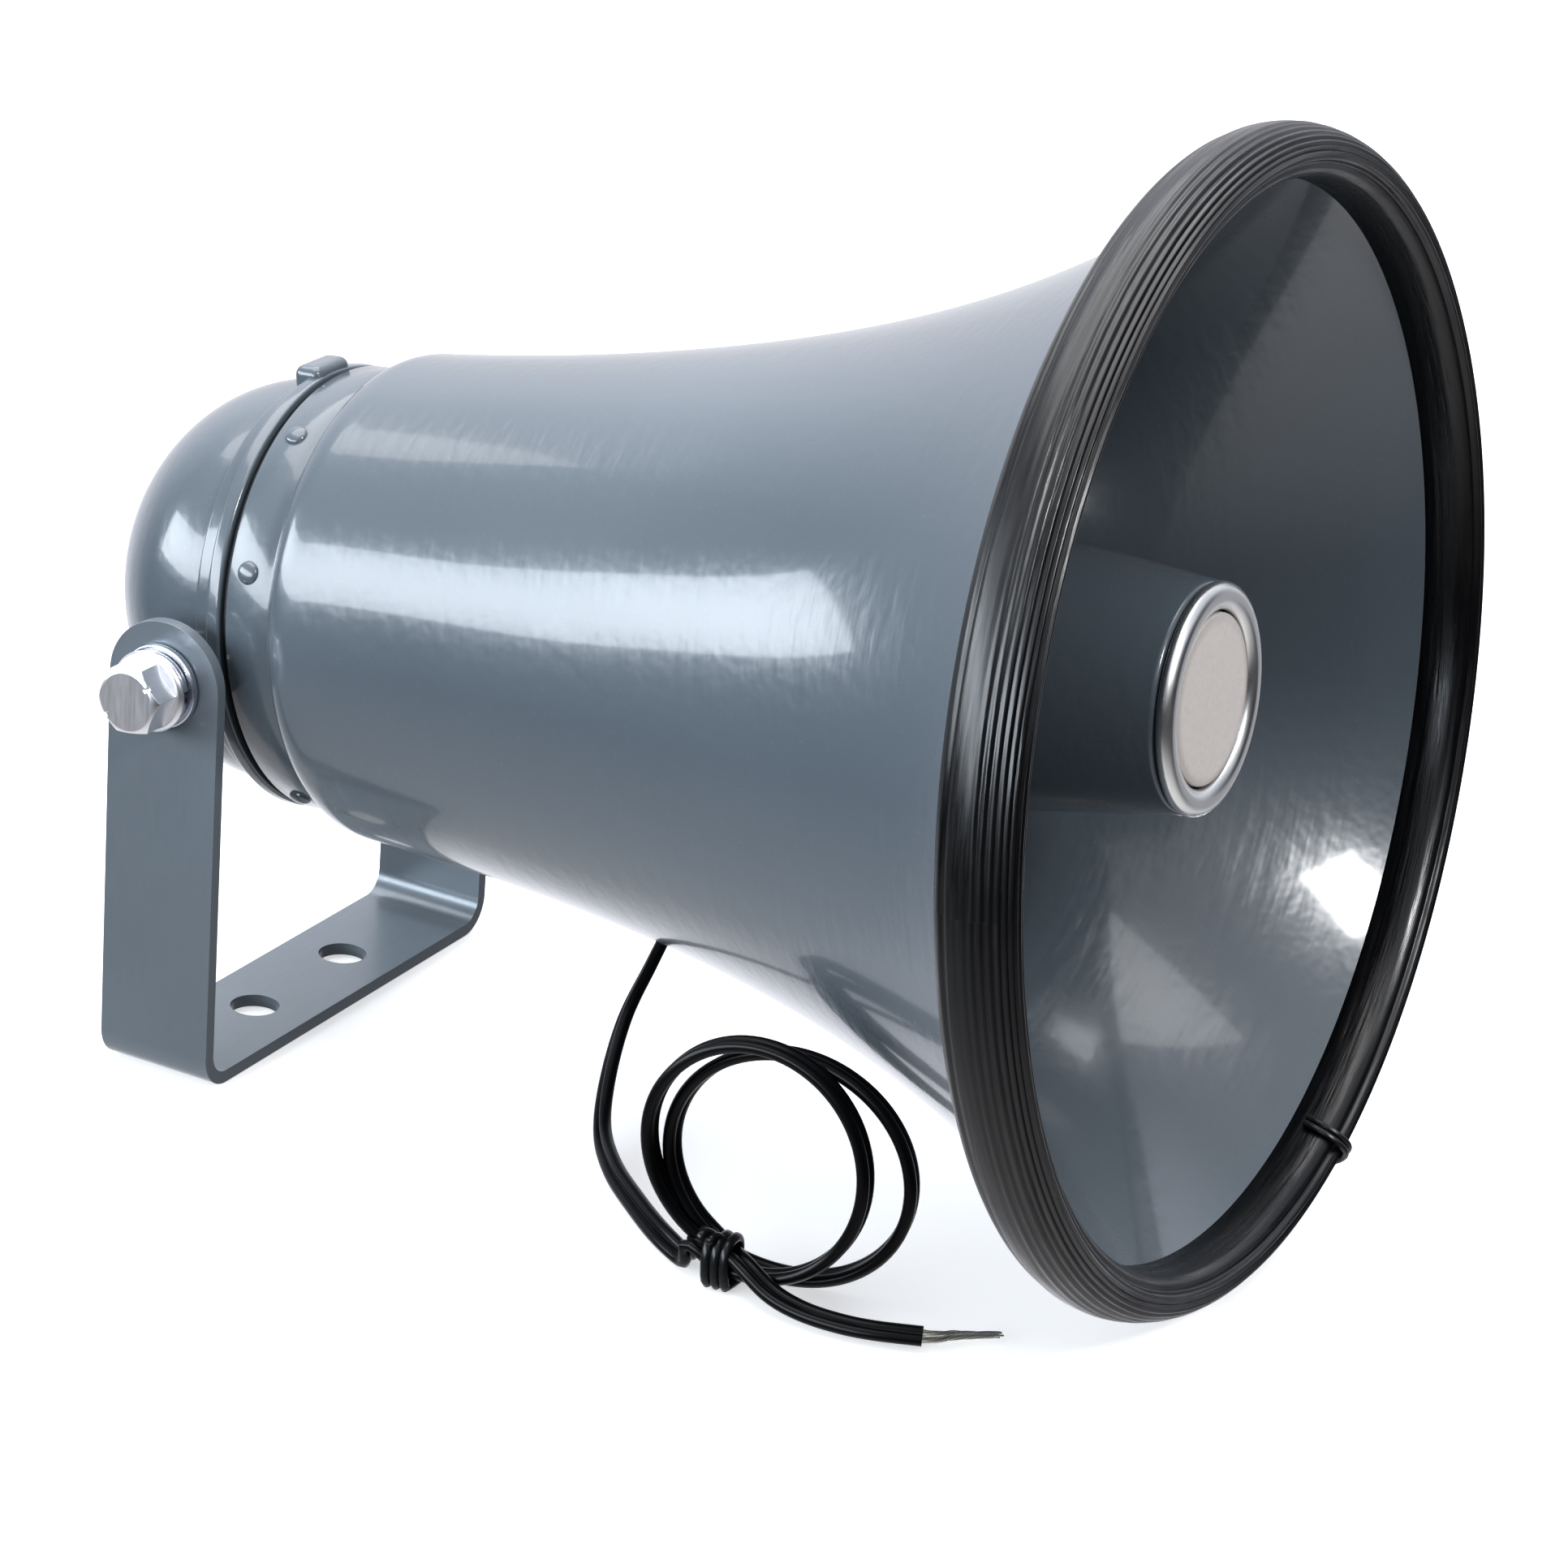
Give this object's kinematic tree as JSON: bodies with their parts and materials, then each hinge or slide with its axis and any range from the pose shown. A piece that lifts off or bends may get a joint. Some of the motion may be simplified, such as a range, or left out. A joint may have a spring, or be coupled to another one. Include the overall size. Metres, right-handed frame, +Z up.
{
  "type": "horn loudspeaker",
  "caption": "Round reflex horn loudspeaker that tilts on a U bracket, with a flared bell, centre reflector, rear driver can and a short twin lead.",
  "frame": {"origin": "centre of the underside of the bracket's foot, which rests on the floor", "axes": "+Z up; X along the two pivot bolts; the horn's mouth faces -Y"},
  "size_m": [0.21, 0.2436, 0.2095],
  "materials": {
    "enamel": "gloss blue-grey stove enamel",
    "black_rubber": "ribbed black rubber with a soft sheen",
    "black_plastic": "black plastic-coated wire",
    "polished_ring": "polished",
    "badge_plate": "warm light grey, plain",
    "cast_alloy": "as cast",
    "zinc": "bright zinc plate",
    "ferrite": "ground ceramic magnet",
    "copper": "copper",
    "phenolic": "resin-treated cloth and board",
    "cord_vinyl": "black vinyl",
    "tinned_wire": "tinned copper strand"
  },
  "bodies": {
    "bracket": {"yoke": "enamel", "bolt_left": "zinc", "bolt_right": "zinc", "spring_washer_left": "zinc", "spring_washer_right": "zinc", "flat_washer_left": "zinc", "flat_washer_right": "zinc"},
    "horn": {"bell": "enamel", "edge_trim": "black_rubber", "trim_tie": "black_plastic", "reflector": "enamel", "reflector_ring": "polished_ring", "badge_disc": "badge_plate", "reflector_spider": "cast_alloy", "reflector_screw": "zinc", "throat_tube": "enamel", "throat_flange": "cast_alloy", "rivet_1": "enamel", "rivet_2": "enamel", "rivet_3": "enamel", "rivet_4": "enamel", "rivet_5": "enamel", "rivet_6": "enamel", "gasket": "black_rubber", "rear_cover": "enamel", "back_plate": "zinc", "magnet": "ferrite", "top_plate": "zinc", "clamp_ring": "cast_alloy", "phase_plug": "cast_alloy", "terminal_plate": "phenolic", "terminal_tag_left": "copper", "terminal_tag_right": "copper", "grommet": "black_rubber", "cord_lead": "cord_vinyl", "cord_coil": "cord_vinyl", "cord_tail": "cord_vinyl", "bare_wire_left": "tinned_wire", "bare_wire_right": "tinned_wire"},
    "diaphragm_assembly": {"diaphragm": "phenolic", "voice_coil": "copper"}
  },
  "joints": [
    {"name": "horn_tilt", "type": "hinge", "parent": "bracket", "child": "horn", "pos_m": [0, 0, 0.0803], "axis": [1, 0, 0], "range_deg": [-80, 30]},
    {"name": "diaphragm_travel", "type": "slide", "parent": "horn", "child": "diaphragm_assembly", "axis": [0, -0.9952, 0.0976], "range_m": [-0.0003, 0.0003], "stiffness_N_per_m": 3000}
  ]
}
